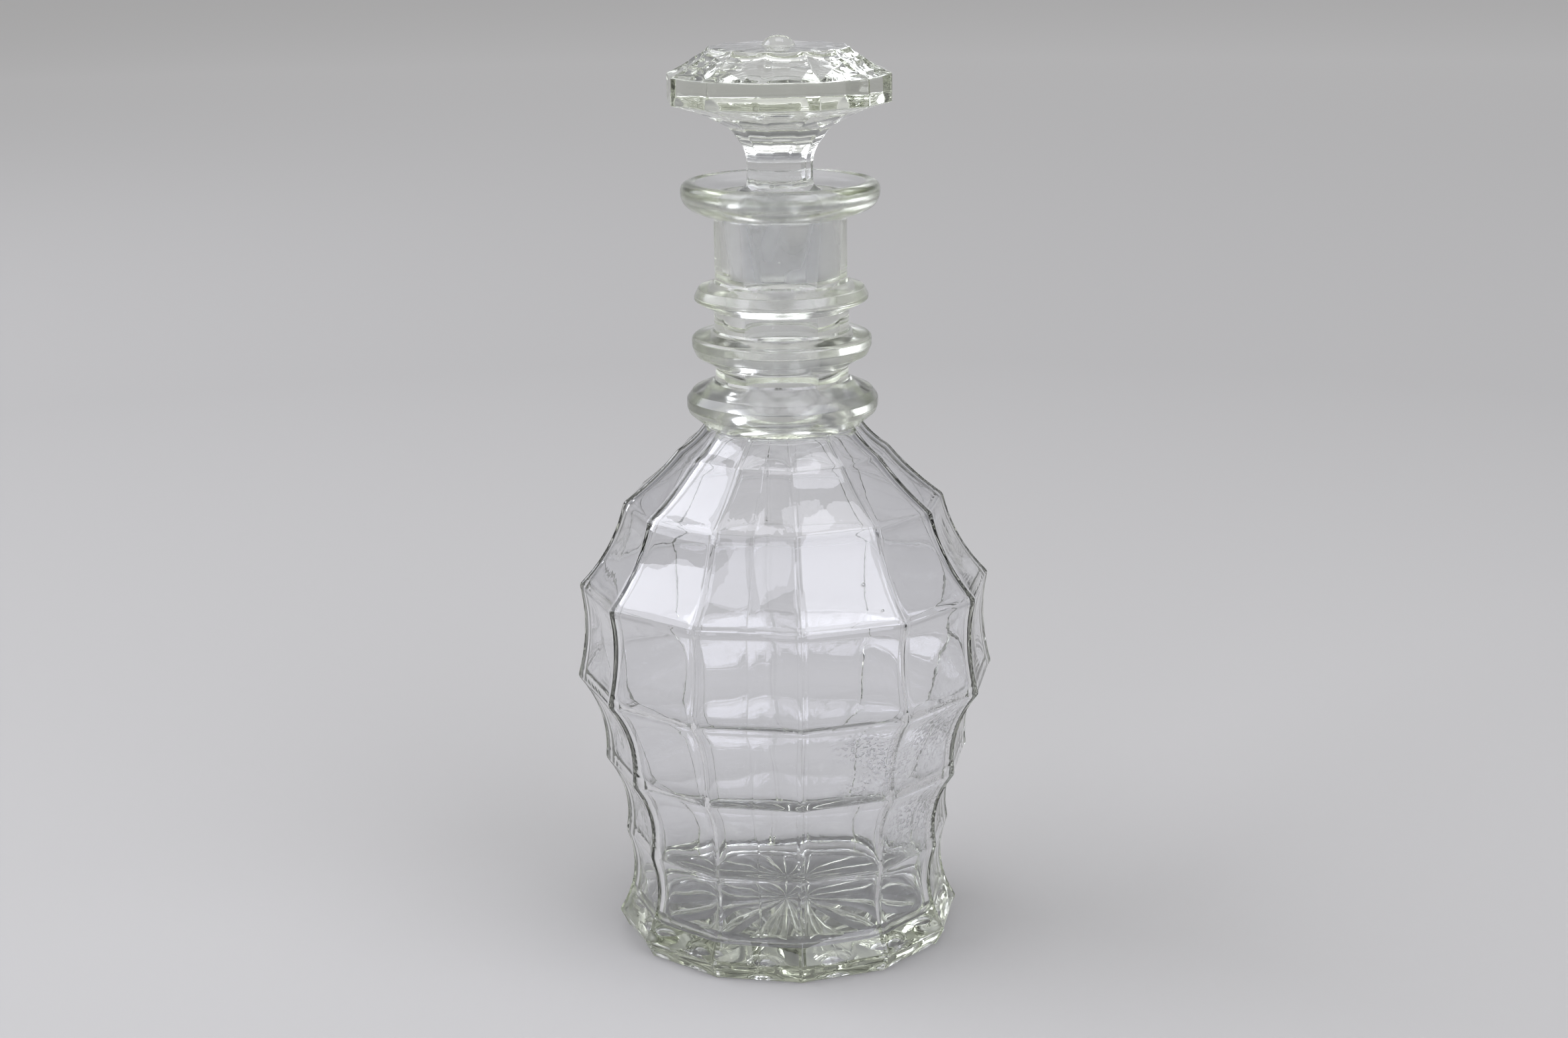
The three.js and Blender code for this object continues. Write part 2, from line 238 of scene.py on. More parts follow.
# Upright soft lights: degrees to the right of the camera's direction, width, height, how
# high the lower edge stands, and radiance
SOFTBOX_DISTANCE = 1.5
SOFTBOX_COLOUR = "#ecedf7"
SOFTBOXES = {
    "softbox_left": (-89, 1.50, 2.70, 0.10, 3.9),
    "softbox_front": (-23, 0.50, 1.40, 0.50, 2.3),
    "softbox_right": (47, 1.32, 2.50, 0.35, 3.9),
}
OVERHEAD = {"place": (0.20, -0.03, 2.06), "width": 1.20, "height": 0.64,
            "colour": "#eeeef6", "radiance": 3.2}
# Shades of the surroundings, from level (0) to straight up (1)
STUDIO_SHADES = (
    (0.0, "#c6c6c8"), (0.12, "#a8a8ac"), (0.35, "#808084"), (0.7, "#b0b0b4"), (1.0, "#ffffff"),
)

RADIUS, HEIGHT, HOLLOW = 0, 1, 3    # where a profile's point holds them


def point(radius, height, facet=0.0, hollow=0.0, drop=0.0, ease=0.0):
    """A profile's point: radius, height, how far its round is drawn in to flats, how
    hollow these are, how far their middle drops, and how wide the upright ridges round."""
    return np.array((radius, height, facet, hollow, drop, ease), float)


def straight(start, end):
    return lambda shares: start + np.outer(shares, end - start)


def bent(start, corner, end):
    """A curve that leaves and arrives along the lines through the corner."""
    def curve(shares):
        t = shares[:, None]
        return (1 - t) ** 2 * start + 2 * t * (1 - t) * corner + t ** 2 * end
    return curve


def bowed(start, end, dip, hollow=0.0):
    """A shallow arc that bends in towards the axis, with panels hollow at its middle."""
    along = end[:2] - start[:2]
    inward = np.array((-along[1], along[0])) / np.linalg.norm(along)
    if inward[0] > 0:
        inward = -inward

    def curve(shares):
        depth = 4 * shares * (1 - shares)
        points = start + np.outer(shares, end - start)
        points[:, :2] += np.outer(depth * dip, inward)
        points[:, HOLLOW] = hollow * depth
        return points
    return curve


def backwards(curve, start=0.0):
    """The curve run from its end down to the share where it starts."""
    return lambda shares: curve(1 - shares * (1 - start))


def stretch(kind, curve, ease=None):
    """A curve with the steps and the ease of its kind of stretch, or an ease of its own."""
    steps, usual_ease = STRETCHES[kind]
    return curve, steps, usual_ease if ease is None else ease


def chord(curve):
    """The distance from a curve's start to its end."""
    first, last = curve(np.array((0.0, 1.0)))
    return np.linalg.norm(last[:2] - first[:2])


def joined(stretches, end_ease=0.0):
    """One profile of stretches, with the corner where each starts rounded by its ease."""
    eases = [ease for _, _, ease in stretches] + [end_ease]
    profile = []
    for index, (curve, steps, before) in enumerate(stretches):
        length = chord(curve)
        here = curve(np.linspace(before / length, 1 - eases[index + 1] / length, steps + 1))
        if profile and before:
            turn = bent(profile[-1][-1], curve(np.zeros(1))[0], here[0])
            profile.append(turn(np.linspace(0, 1, CORNER_STEPS + 1))[1:-1])
        profile.append(here if before or not profile else here[1:])
    return np.concatenate(profile)


def with_held_eases(stretches):
    """The same stretches, with each ease held to a share of the shorter stretch beside it."""
    lengths = [chord(curve) for curve, _, _ in stretches]
    shorter = [min(pair) for pair in zip(lengths, [lengths[0], *lengths])]
    return [(curve, steps, min(ease, LARGEST_EASE_SHARE * length))
            for (curve, steps, ease), length in zip(stretches, shorter)]


def column_angles():
    """Angles of the mesh's columns all round, and how far each lies from a ridge."""
    shares = np.array(PANEL_SHARES)
    angles = (np.arange(PANELS)[:, None] + shares) * PANEL_ANGLE
    from_ridge = np.tile(np.minimum(shares, 1 - shares) * PANEL_ANGLE, PANELS)
    return angles.ravel(), from_ridge


def turned(profile, turn=0.0, rib=0.0, seam=0.0):
    """Places of a profile turned round the axis, drawn in to its panels, as rows of points.
    A rib stands on the upright ridges, and a seam in the middle of two panels."""
    angles, from_ridge = column_angles()
    radius, height, facet, hollow, drop, ease = profile.T[:, :, None]
    rounding = np.clip(ease / np.maximum(radius, 1), TINY, PANEL_ANGLE / 2)
    eased = np.where(from_ridge < rounding,
                     (from_ridge ** 2 / rounding + rounding) / 2, from_ridge)
    from_middle = PANEL_ANGLE / 2 - eased
    flat = math.cos(PANEL_ANGLE / 2) / np.cos(from_middle)
    middle = 1 - (2 * from_middle / PANEL_ANGLE) ** 2
    roots, _, _, _ = neck_heights()
    on_seam = np.isclose(np.sin(angles - SEAM_ANGLE), 0, atol=TINY)
    seamed = on_seam * (height < roots[0])      # the neck is tooled after moulding
    crest = np.clip(1 - (from_ridge * radius / RIB_REACH) ** 2, 0, 1) ** 2
    reach = (radius * (1 - facet * (1 - flat)) - hollow * middle
             + rib * facet * crest + seam * seamed)
    x = reach * np.sin(angles + turn)
    y = -reach * np.cos(angles + turn)
    return np.stack((x, y, height - drop * middle), axis=-1)


def rippled(places, size, height):
    """The same places, moved by the slow ripples that cooling leaves in the glass. The
    waves' own numbers only keep them from repeating over a piece."""
    x, y, z = np.moveaxis(places, -1, 0) * (2 * math.pi / size)
    wave = (np.sin(0.91 * x + 0.37 * z + 0.4) * np.sin(0.83 * y - 0.29 * z + 1.1)
            + np.sin(0.61 * z + 0.48 * x - 0.33 * y + 2.0) * np.sin(0.57 * z - 0.7 * y))
    out = places * (1, 1, 0)
    lengths = np.maximum(np.linalg.norm(out, axis=-1, keepdims=True), 1)
    return places + out / lengths * (wave * height / 2)[..., None]


def closed_mesh(name, places, marks):
    """A mesh of rows of points all round, closed at its ends by the first point of the
    first and the last row. A row of marks for each name tells how much of that finish
    each point has."""
    rows, columns = places.shape[:2]
    first, last = 0, 1 + (rows - 2) * columns
    points = np.concatenate((places[:1, 0], places[1:-1].reshape(-1, 3), places[-1:, 0]))
    here = 1 + np.arange(columns)
    there = 1 + (np.arange(columns) + 1) % columns
    faces = [(first, b, a) for a, b in zip(here, there)]
    for row in range(rows - 3):
        low, high = row * columns, (row + 1) * columns
        faces += zip(here + low, there + low, there + high, here + high)
    top = (rows - 3) * columns
    faces += [(last, a, b) for a, b in zip(here + top, there + top)]
    mesh = bpy.data.meshes.new(name)
    mesh.from_pydata((points * MM).tolist(), [], [tuple(map(int, face)) for face in faces])
    for mark, values in marks.items():
        attribute = mesh.attributes.new(mark, "FLOAT", "POINT")
        spread = np.repeat(values[1:-1], columns)
        attribute.data.foreach_set("value", np.concatenate((values[:1], spread, values[-1:])))
    mesh.shade_smooth()
    mesh.validate()
    piece = bpy.data.objects.new(name, mesh)
    bpy.context.scene.collection.objects.link(piece)
    return piece


def body_corners():
    """Corners where two rows of panels meet, from the widest edge of the foot up."""
    corners = [point(FOOT_FLARE_RADIUS, FOOT_BEVEL_HEIGHT, 1, ease=OUTER_EASE)]
    for height, radius, _, _ in ROWS:
        corners.append(point(radius, corners[-1][HEIGHT] + height, 1, ease=OUTER_EASE))
    return corners


def inner_ease(height):
    return float(np.interp(height, *INNER_EASES))


def inner_corners(corners):
    """The same corners moved into the glass by the wall, square to both rows."""
    moved = []
    for index, corner in enumerate(corners):
        before = corners[max(index - 1, 0)]
        after = corners[min(index + 1, len(corners) - 1)]
        along = (after - before)[:2]
        inward = np.array((-along[1], along[0])) / np.linalg.norm(along) * WALL
        radius, height = corner[:2] + inward
        facet = np.interp(radius, ROUND_NECK, (0, 1))
        radius *= 1 - (1 - facet) * (1 - math.cos(PANEL_ANGLE / 2))
        moved.append(point(radius, height, facet, ease=inner_ease(height)))
    return moved


def panel_rows(corners, softening=1.0):
    """Curves of the rows of panels, from the foot up."""
    return [bowed(low, high, dip * softening, hollow * softening)
            for low, high, (_, _, dip, hollow) in zip(corners, corners[1:], ROWS)]


def neck_heights():
    """Roots of the rings, the root of the lip, its crest and the mouth."""
    height = body_corners()[-1][HEIGHT]
    roots = []
    for ring in RINGS:
        roots.append(height + ring["gap"])
        height = roots[-1] + ring["corners"][-1][HEIGHT]
    lip_root = height + LIP["gap"]
    crest = lip_root + LIP["under"] + LIP["edge"]
    return roots, lip_root, crest, crest - LIP["dish"]


def outer_stretches():
    """The outside, from the resting edge up to the root of the lip."""
    corners = body_corners()
    roots, lip_root, _, _ = neck_heights()
    rest = point(FOOT_RESTING_RADIUS, 0, 1, ease=OUTER_EASE)
    stretches = [stretch("foot_bevel", straight(rest, corners[0]))]
    stretches += [stretch("row", curve) for curve in panel_rows(corners)]
    last = point(*corners[-1][:2])
    for ring, root in zip(RINGS, roots):
        if ring["gap"]:
            foot = point(last[RADIUS], root)
            stretches.append(stretch("neck_gap", straight(last, foot)))
            last = foot
        for radius, height in ring["corners"]:
            turn = point(radius, root + height)
            stretches.append(stretch("ring_bevel", straight(last, turn)))
            last = turn
    stretches.append(stretch("upper_neck", straight(last, point(last[RADIUS], lip_root))))
    return with_held_eases(stretches)


def lip_stretches():
    """The lip, from its root over the edge and the crest down the dish to the mouth."""
    _, lip_root, crest, mouth = neck_heights()
    root = point(UPPER_NECK_RADIUS, lip_root)
    under_turn = point(LIP["radius"], lip_root + LIP["under"] * LIP["under_turn"])
    widest = point(LIP["radius"], lip_root + LIP["under"])
    edge_turn = point(LIP["radius"], crest)
    top = point(LIP["crest"], crest)
    dish_turn = point((LIP["crest"] + LIP["mouth"]) / 2, mouth)
    return [
        stretch("lip_under", bent(root, under_turn, widest)),
        stretch("lip_edge", bent(widest, edge_turn, top)),
        stretch("lip_dish", bent(top, dish_turn, point(LIP["mouth"], mouth))),
    ]


def inner_stretches():
    """The inside, from the ground mouth down the bore and the soft panels to the floor."""
    _, _, _, mouth = neck_heights()
    corners = inner_corners(body_corners())
    seat_top = point(LIP["mouth"], mouth)
    seat_end = point(LIP["mouth"] - PEG["taper"], mouth - PEG["length"])
    bore_top = point(BORE_RADIUS, seat_end[HEIGHT] - BORE_STEP_HEIGHT)
    flare_end = point(FLARE["radius"], corners[-1][HEIGHT] + FLARE["rise"])
    bore_end = point(BORE_RADIUS, flare_end[HEIGHT] + FLARE["height"])
    flare_turn = point(BORE_RADIUS, flare_end[HEIGHT] + FLARE["height"] * FLARE["turn"])

    lowest, *upper = panel_rows(corners, SOFTENING_SHARE)
    in_reach, up_reach = FLOOR_CORNER
    cut = (FLOOR_EDGE + up_reach - corners[0][HEIGHT]) / ROWS[0][0]
    top_row, *lower_rows = [backwards(curve) for curve in reversed(upper)]
    lower_rows.append(backwards(lowest, cut))
    lower_eases = [inner_ease(corner[HEIGHT]) for corner in corners[-2:0:-1]]

    wall_foot = lowest(np.array((cut,)))[0]
    floor_ease = inner_ease(0)
    floor_edge = point(wall_foot[RADIUS] - in_reach, FLOOR_EDGE, 1, ease=floor_ease)
    floor_corner = point(wall_foot[RADIUS], FLOOR_EDGE, 1, ease=floor_ease)
    dome_turn = point(floor_edge[RADIUS] / 2, FLOOR_THICKNESS, ease=floor_ease)
    dome_top = point(0, FLOOR_THICKNESS, ease=floor_ease)
    return [
        stretch("seat", straight(seat_top, seat_end)),
        stretch("bore_step", straight(seat_end, bore_top)),
        stretch("bore", straight(bore_top, bore_end)),
        stretch("flare", bent(bore_end, flare_turn, flare_end)),
        stretch("neck_foot", straight(flare_end, corners[-1])),
        stretch("inner_row", top_row),
        *(stretch("inner_row", curve, ease) for curve, ease in zip(lower_rows, lower_eases)),
        stretch("floor_corner", bent(wall_foot, floor_corner, floor_edge)),
        stretch("floor", bent(floor_edge, dome_turn, dome_top)),
    ]


def star_row(distance):
    """One row of the underside, square to the middle of each panel at that distance from
    the axis: the grooves of the star sink into it, and its points gather on their edges."""
    if distance < STAR_WIDEST:
        share = max((distance - STAR["centre"]) / (STAR_WIDEST - STAR["centre"]), 0.0)
    else:
        past = min((distance - STAR_WIDEST) / (STAR["radius"] - STAR_WIDEST), 1.0)
        share = math.sqrt(1 - past ** 2)
    half_row = distance * math.tan(PANEL_ANGLE / 2)
    half_ray = STAR["ray_width"] / 2 * share
    across = (2 * np.array(PANEL_SHARES) - 1) * half_row
    if share > 0:
        steps = len(HALF_PANEL_SHARES)
        land = steps // 2
        half = np.concatenate((np.linspace(half_row, half_ray, land + 1),
                               np.linspace(half_ray, 0, steps - land + 1)[1:]))
        across = np.concatenate((-half, half[-2:0:-1]))
    sunk = STAR["depth"] * share * np.maximum(1 - (across / max(half_ray, TINY)) ** 2, 0)
    middles = (np.arange(PANELS)[:, None] + 0.5) * PANEL_ANGLE
    angles = middles + np.arctan2(across, distance)
    reach = np.hypot(across, distance)
    height = np.broadcast_to(sunk, angles.shape)
    places = (reach * np.sin(angles), -reach * np.cos(angles), height)
    return np.stack(places, axis=-1).reshape(-1, 3)


def underside():
    """Rows of the underside from its centre out to the resting edge."""
    to_widest, to_ends, to_rim = STAR_ROWS
    shares = np.linspace(0, 1, to_ends + 1)[1:]
    rim = FOOT_RESTING_RADIUS * math.cos(PANEL_ANGLE / 2) - OUTER_EASE
    distances = (
        STAR["centre"] / 2,
        *np.linspace(STAR["centre"], STAR_WIDEST, to_widest + 1),
        *(STAR_WIDEST + (STAR["radius"] - STAR_WIDEST) * np.sin(shares * math.pi / 2)),
        *np.linspace(STAR["radius"], rim, to_rim + 1)[1:],
    )
    centre = np.zeros((1, len(PANEL_SHARES) * PANELS, 3))
    return np.concatenate((centre, [star_row(distance) for distance in distances]))


def seat_share(profile):
    """One on the ground seat inside the mouth, and zero elsewhere."""
    _, _, _, mouth = neck_heights()
    height = profile[:, HEIGHT]
    return ((height > mouth - PEG["length"]) & (height < mouth - FINISH_MARGIN)).astype(float)


def tooled_share(profile):
    """One on the rings and the lip, which are shaped with a tool, and zero elsewhere."""
    roots, _, _, _ = neck_heights()
    proud = profile[:, RADIUS] > UPPER_NECK_RADIUS + RING_MARGIN
    return (proud & (profile[:, HEIGHT] > roots[0] + FINISH_MARGIN)).astype(float)


def add_seeds(piece):
    """Small round bubbles of air closed in the glass, as hollows in its mesh."""
    glass = bmesh.new()
    glass.from_mesh(piece.data)
    for place, radius in SEEDS:
        made = bmesh.ops.create_icosphere(
            glass, subdivisions=SEED_DIVISIONS, radius=radius * MM,
            matrix=Matrix.Translation(Vector(place) * MM))
        faces = list({face for corner in made["verts"] for face in corner.link_faces})
        bmesh.ops.reverse_faces(glass, faces=faces)
        for face in faces:
            face.smooth = True
    glass.to_mesh(piece.data)
    glass.free()


def make_bottle():
    """One closed skin of glass: the starred underside, the outside up to the mouth, and
    the inside down to the floor."""
    below = underside()
    outside = joined([*outer_stretches(), *lip_stretches()], MOUTH_EASE)
    inside = joined(inner_stretches())
    places = np.concatenate((
        below,
        rippled(turned(outside, rib=RIB_HEIGHT, seam=SEAM_HEIGHT), *OUTER_RIPPLE),
        rippled(turned(inside), *INNER_RIPPLE),
    ))
    past_star = np.linalg.norm(below, axis=2).min(axis=1) > STAR["radius"] + FINISH_MARGIN
    clear_below, clear_outside, clear_inside = (
        np.zeros(len(rows)) for rows in (below, outside, inside))
    marks = {
        "inside": np.concatenate((clear_below, clear_outside, np.ones(len(inside)))),
        "ground": np.concatenate((REST_WEAR * past_star, clear_outside, seat_share(inside))),
        "tooled": np.concatenate((clear_below, tooled_share(outside), clear_inside)),
    }
    piece = closed_mesh("decanter_bottle", places, marks)
    piece.data.set_sharp_from_angle(angle=SHARP_ANGLE)
    add_seeds(piece)
    return piece


def make_stopper():
    """Solid glass: the round peg in the mouth, and the waist and cap drawn in to facets."""
    _, _, _, mouth = neck_heights()
    top = point(LIP["mouth"] - SEAT_CLEARANCE, mouth)
    end_radius = top[RADIUS] - PEG["taper"]
    end_height = mouth - PEG["length"]
    face = point(end_radius - PEG["rounding"], end_height)
    side = point(end_radius, end_height + PEG["rounding"])
    foot = point(WAIST["radius"], mouth + WAIST["foot"], 1, ease=STOPPER_EASE)
    foot_turn = point(WAIST["radius"], mouth + WAIST["foot"] * WAIST["foot_turn"])
    last = point(WAIST["radius"], mouth + WAIST["height"], 1, ease=STOPPER_EASE)
    stretches = [
        stretch("peg_end", straight(point(0, end_height), face)),
        stretch("peg_edge", bent(face, point(end_radius, end_height), side)),
        stretch("peg", straight(side, top)),
        stretch("waist_foot", bent(top, foot_turn, foot)),
        stretch("waist", straight(foot, last)),
    ]
    for name, (height, radius, dip, hollow) in CAP.items():
        here = point(radius, last[HEIGHT] + height, 1, drop=SCALLOPS.get(name, 0.0),
                     ease=STOPPER_EASE)
        stretches.append(stretch(name, bowed(last, here, dip, hollow)))
        last = here
    button_foot = point(BUTTON["radius"], last[HEIGHT] + TABLE_RISE)
    button_top = point(0, button_foot[HEIGHT] + BUTTON["height"])
    button_turn = point(BUTTON["radius"] * BUTTON["turn"], button_top[HEIGHT])
    stretches += [
        stretch("table", straight(last, button_foot)),
        stretch("button", bent(button_foot, button_turn, button_top)),
    ]
    profile = joined(stretches, BUTTON_END)
    places = rippled(turned(profile, STOPPER_TURN), *STOPPER_RIPPLE)
    height = profile[:, HEIGHT]
    on_peg = (height > end_height + PEG_END_MARGIN) & (height < mouth - FINISH_MARGIN)
    return closed_mesh("decanter_stopper", places, {"ground": on_peg.astype(float)})


def srgb(code):
    """A colour as #rrggbb, turned to the linear values that Blender works in."""
    parts = [int(code[start:start + 2], 16) / 255 for start in (1, 3, 5)]
    return [p / 12.92 if p <= 0.04045 else ((p + 0.055) / 1.055) ** 2.4 for p in parts] + [1.0]


def add_node(tree, kind, settings=(), in_order=(), **by_name):
    """A node of that kind, with settings for its properties and sockets, and its inputs
    linked to other nodes' outputs, in order or by name."""
    node = tree.nodes.new(kind)
    for name, value in dict(settings).items():
        if name in node.inputs:
            node.inputs[name].default_value = value
        else:
            setattr(node, name, value)
    for socket, output in zip(node.inputs, in_order):
        tree.links.new(output, socket)
    for name, output in by_name.items():
        tree.links.new(output, node.inputs[name.replace("_", " ")])
    return node


# Settings of a maths node that takes two masks
TIMES = {"operation": "MULTIPLY"}
PLUS = {"operation": "ADD", "use_clamp": True}


def ground_mask(tree, places):
    """How ground the glass is, with upright patches that the stopper's use has polished."""
    ground = add_node(tree, "ShaderNodeAttribute", {"attribute_name": "ground"})
    upright = add_node(tree, "ShaderNodeMapping", {"Scale": WEAR_SCALE}, Vector=places)
    wear = add_node(tree, "ShaderNodeTexNoise", {"Scale": 1 / WEAR_SIZE, "Detail": 1.0},
                    Vector=upright.outputs["Vector"])
    lowest, highest = WEAR_RANGE
    polish = add_node(tree, "ShaderNodeMapRange",
                      {"From Min": lowest, "From Max": highest, "To Min": LEAST_GRINDING},
                      Value=wear.outputs["Fac"])
    left = add_node(tree, "ShaderNodeMath", TIMES,
                    (ground.outputs["Fac"], polish.outputs["Result"]))
    return left.outputs["Value"]


def spot_mask(tree, places, middle, reach):
    """One in the middle of a spot on the glass and zero at its reach, in metres."""
    offset = add_node(tree, "ShaderNodeVectorMath", {"operation": "DISTANCE"}, (places,))
    offset.inputs[1].default_value = middle
    fade = add_node(tree, "ShaderNodeMapRange", {"From Min": reach, "From Max": 0.0},
                    Value=offset.outputs["Value"])
    return fade.outputs["Result"]


def haze_mask(tree, places, inside):
    """The cloudy film that wine has left low down inside."""
    clouds = add_node(tree, "ShaderNodeTexNoise", {"Scale": 1 / CLOUD_SIZE, "Detail": 3.0},
                      Vector=places)
    lowest, highest = CLOUD_RANGE
    film = add_node(tree, "ShaderNodeMapRange",
                    {"From Min": lowest, "From Max": highest, "To Max": HAZE_SHARE},
                    Value=clouds.outputs["Fac"])
    near = add_node(tree, "ShaderNodeMath", TIMES, (spot_mask(tree, places, *HAZE), inside))
    haze = add_node(tree, "ShaderNodeMath", TIMES,
                    (near.outputs["Value"], film.outputs["Result"]))
    return haze.outputs["Value"]


def stain_mask(tree, places, inside, stains):
    """Flecks that wine has etched inside, thickest in the middle of each stain."""
    grit = add_node(tree, "ShaderNodeTexNoise", {"Scale": 1 / FLECK_SIZE, "Detail": 4.0},
                    Vector=places)
    lowest, highest = FLECK_RANGE
    flecks = add_node(tree, "ShaderNodeMapRange", {"From Min": lowest, "From Max": highest},
                      Value=grit.outputs["Fac"])
    spots = spot_mask(tree, places, *stains[0])
    for stain in stains[1:]:
        both = add_node(tree, "ShaderNodeMath", PLUS, (spots, spot_mask(tree, places, *stain)))
        spots = both.outputs["Value"]
    near = add_node(tree, "ShaderNodeMath", TIMES, (spots, inside))
    etched = add_node(tree, "ShaderNodeMath", TIMES,
                      (near.outputs["Value"], flecks.outputs["Result"]))
    return etched.outputs["Value"]


def tooled_normal(tree, places, tooled, normal):
    """The surface with the fine lines that a tool draws round the rings and the lip."""
    squeeze = add_node(tree, "ShaderNodeMapping", {"Scale": TOOL_LINE_SCALE}, Vector=places)
    lines = add_node(tree, "ShaderNodeTexNoise", {"Scale": 1 / TOOL_LINE_SIZE, "Detail": 3.0},
                     Vector=squeeze.outputs["Vector"])
    height = add_node(tree, "ShaderNodeMath", TIMES, (tooled, lines.outputs["Fac"]))
    drawn = add_node(tree, "ShaderNodeBump", {"Distance": TOOL_LINE_DEPTH},
                     Height=height.outputs["Value"], Normal=normal)
    return drawn.outputs["Normal"]


def moulded_glass(name, tint_density, stains=()):
    """Soda-lime glass, blown and pressed in a mould and polished by the fire. Iron in the
    sand gives the thick parts an olive green tint, the mould leaves a faint orange peel,
    and the seat and the peg are ground, which makes them milky, but partly polished again
    by use. Glass with stains also has satin rings and lip, shaped with a tool, and a haze
    and dull flecks that wine has left inside."""
    material = bpy.data.materials.new(name)
    material.use_nodes = True
    tree = material.node_tree
    tree.nodes.clear()
    places = add_node(tree, "ShaderNodeTexCoord").outputs["Object"]
    peel = add_node(tree, "ShaderNodeTexNoise", {"Scale": 1 / PEEL_SIZE, "Detail": 2.0},
                    Vector=places)
    bumps = add_node(tree, "ShaderNodeBump", {"Distance": PEEL_DEPTH}, Height=peel.outputs["Fac"])
    normal = bumps.outputs["Normal"]
    milky = ground_mask(tree, places)
    rough = milky
    if stains:
        inside = add_node(tree, "ShaderNodeAttribute", {"attribute_name": "inside"}).outputs["Fac"]
        tooled = add_node(tree, "ShaderNodeAttribute", {"attribute_name": "tooled"}).outputs["Fac"]
        stained = stain_mask(tree, places, inside, stains)
        for mask in (haze_mask(tree, places, inside), stained):
            both = add_node(tree, "ShaderNodeMath", PLUS, (milky, mask))
            milky = both.outputs["Value"]
        satin = add_node(tree, "ShaderNodeMapRange", {"To Max": SATIN_SHARE}, Value=tooled)
        both = add_node(tree, "ShaderNodeMath", PLUS, (milky, satin.outputs["Result"]))
        rough = both.outputs["Value"]
        normal = tooled_normal(tree, places, tooled, normal)
        etched = add_node(tree, "ShaderNodeBump", {"Distance": FLECK_DEPTH},
                          Height=stained, Normal=normal)
        normal = etched.outputs["Normal"]
    roughness = add_node(tree, "ShaderNodeMapRange", {"To Max": GROUND_ROUGHNESS}, Value=rough)
    clearness = add_node(tree, "ShaderNodeMapRange",
                         {"To Min": 1.0, "To Max": GROUND_CLEARNESS}, Value=milky)
    glass = add_node(
        tree, "ShaderNodeBsdfPrincipled",
        {"Base Color": srgb(CLEAR_COLOUR), "IOR": CLEAR_IOR},
        Roughness=roughness.outputs["Result"], Transmission_Weight=clearness.outputs["Result"],
        Normal=normal)
    tint = add_node(tree, "ShaderNodeVolumeAbsorption",
                    {"Color": srgb(TINT_COLOUR), "Density": tint_density})
    add_node(tree, "ShaderNodeOutputMaterial",
             Surface=glass.outputs["BSDF"], Volume=tint.outputs["Volume"])
    return material


def make_camera():
    data = bpy.data.cameras.new("camera")
    data.sensor_width = SENSOR_WIDTH
    data.lens = FOCAL_PIXELS / IMAGE_WIDTH * SENSOR_WIDTH
    camera = bpy.data.objects.new("camera", data)
    bpy.context.scene.collection.objects.link(camera)
    turn = (Matrix.Rotation(-CAMERA_AZIMUTH, 4, "Z")
            @ Matrix.Rotation(math.pi / 2 - CAMERA_PITCH, 4, "X")
            @ Matrix.Rotation(-CAMERA_ROLL, 4, "Z"))
    place = (-CAMERA_DISTANCE * math.sin(CAMERA_AZIMUTH),
             -CAMERA_DISTANCE * math.cos(CAMERA_AZIMUTH), CAMERA_HEIGHT)
    camera.matrix_world = Matrix.Translation(place) @ turn
    bpy.context.scene.camera = camera


def shade_ramp(ramp, shades):
    """Gives a colour ramp its shades, each a position and a colour, from 0 to 1."""
    elements = ramp.color_ramp.elements
    for position, _ in shades[1:-1]:
        elements.new(position)
    for element, (_, colour) in zip(elements, shades):
        element.color = srgb(colour)


def make_floor():
    """A plain pale floor, paler further off, where less of the lights' glow reaches it."""
    mesh = bpy.data.meshes.new("floor")
    corners = ((-1, -1), (1, -1), (1, 1), (-1, 1))
    mesh.from_pydata([(x * FLOOR_HALF_WIDTH, y * FLOOR_HALF_WIDTH, 0) for x, y in corners],
                     [], [(0, 1, 2, 3)])
    floor = bpy.data.objects.new("floor", mesh)
    bpy.context.scene.collection.objects.link(floor)
    floor.location.z = -FLOOR_DROP
    material = bpy.data.materials.new("pale_floor")
    material.use_nodes = True
    tree = material.node_tree
    surface = tree.nodes["Principled BSDF"]
    surface.inputs["Roughness"].default_value = FLOOR_ROUGHNESS
    places = add_node(tree, "ShaderNodeTexCoord").outputs["Object"]
    distance = add_node(tree, "ShaderNodeVectorMath", {"operation": "LENGTH"}, (places,))
    near, far = FLOOR_SHADE_REACHES
    share = add_node(tree, "ShaderNodeMapRange", {"From Min": near, "From Max": far},
                     Value=distance.outputs["Value"])
    ramp = add_node(tree, "ShaderNodeValToRGB", Fac=share.outputs["Result"])
    shade_ramp(ramp, FLOOR_SHADES)
    tree.links.new(ramp.outputs["Color"], surface.inputs["Base Color"])
    floor.data.materials.append(material)


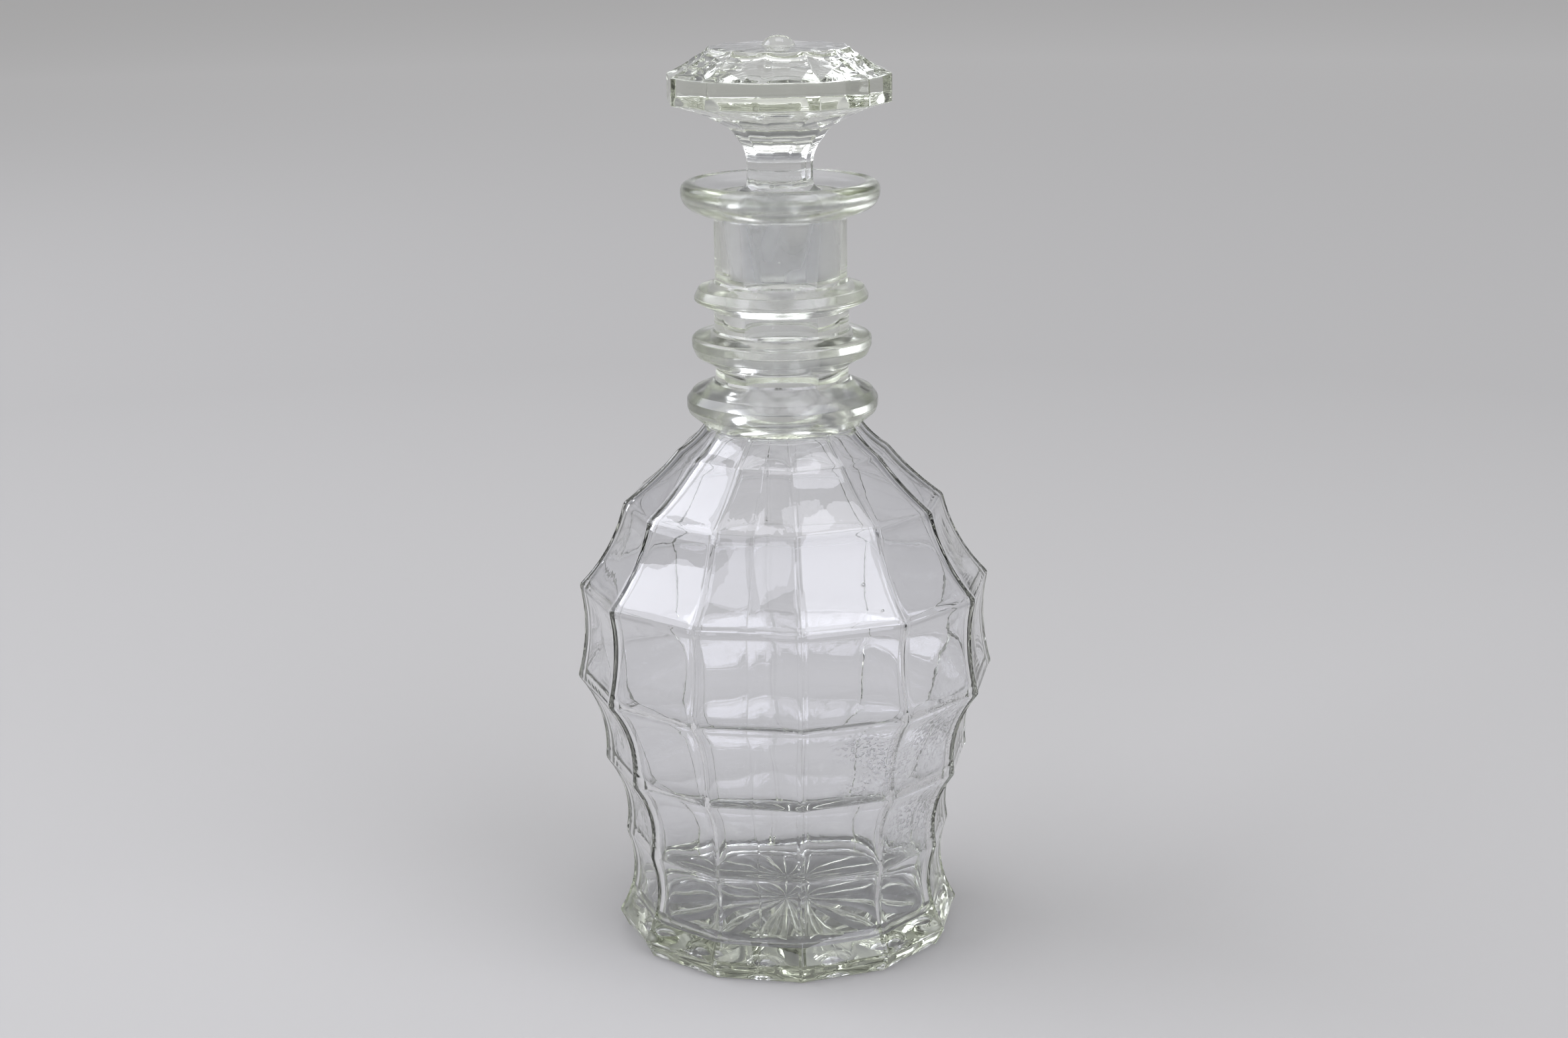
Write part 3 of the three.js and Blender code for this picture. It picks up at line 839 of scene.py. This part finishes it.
def make_light(name, place, width, height, colour, radiance):
    """A soft light that hangs level and shines down, and that the camera doesn't see."""
    data = bpy.data.lights.new(name, "AREA")
    data.shape = "RECTANGLE"
    data.size, data.size_y = width, height
    data.color = srgb(colour)[:3]
    data.energy = radiance * math.pi * width * height
    light = bpy.data.objects.new(name, data)
    bpy.context.scene.collection.objects.link(light)
    light.location = place
    light.visible_camera = False
    return light


def make_softboxes():
    """Soft lights stood upright round the decanter, each facing it."""
    for name, (azimuth, width, height, bottom, radiance) in SOFTBOXES.items():
        angle = math.radians(azimuth) - CAMERA_AZIMUTH - math.pi / 2
        place = Vector((SOFTBOX_DISTANCE * math.cos(angle), SOFTBOX_DISTANCE * math.sin(angle),
                        bottom + height / 2))
        light = make_light(name, place, width, height, SOFTBOX_COLOUR, radiance)
        aim = Vector((-place.x, -place.y, 0))
        light.rotation_euler = aim.to_track_quat("-Z", "Z").to_euler()


def make_studio():
    """Surroundings that are pale near the floor, dark half way up, and bright overhead."""
    world = bpy.data.worlds.new("studio")
    world.use_nodes = True
    tree = world.node_tree
    direction = add_node(tree, "ShaderNodeTexCoord").outputs["Generated"]
    split = add_node(tree, "ShaderNodeSeparateXYZ", Vector=direction)
    ramp = add_node(tree, "ShaderNodeValToRGB", Fac=split.outputs["Z"])
    shade_ramp(ramp, STUDIO_SHADES)
    background = tree.nodes["Background"]
    background.inputs["Strength"].default_value = 1.0
    tree.links.new(ramp.outputs["Color"], background.inputs["Color"])
    bpy.context.scene.world = world


bottle = make_bottle()
bottle.data.materials.append(moulded_glass("moulded_glass", BOTTLE_TINT, STAINS))
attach(bottle, "bottle")
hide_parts("bottle")

stopper = make_stopper()
stopper.data.materials.append(moulded_glass("stopper_glass", STOPPER_TINT))
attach(stopper, "stopper")
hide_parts("stopper")

make_camera()
make_floor()
make_softboxes()
make_light("light_overhead", **OVERHEAD)
make_studio()
bpy.context.scene.view_settings.view_transform = "Standard"
# Light is turned back inside thick glass many times before it comes out
bpy.context.scene.cycles.max_bounces = 24
bpy.context.scene.cycles.glossy_bounces = 12
bpy.context.scene.cycles.transmission_bounces = 20
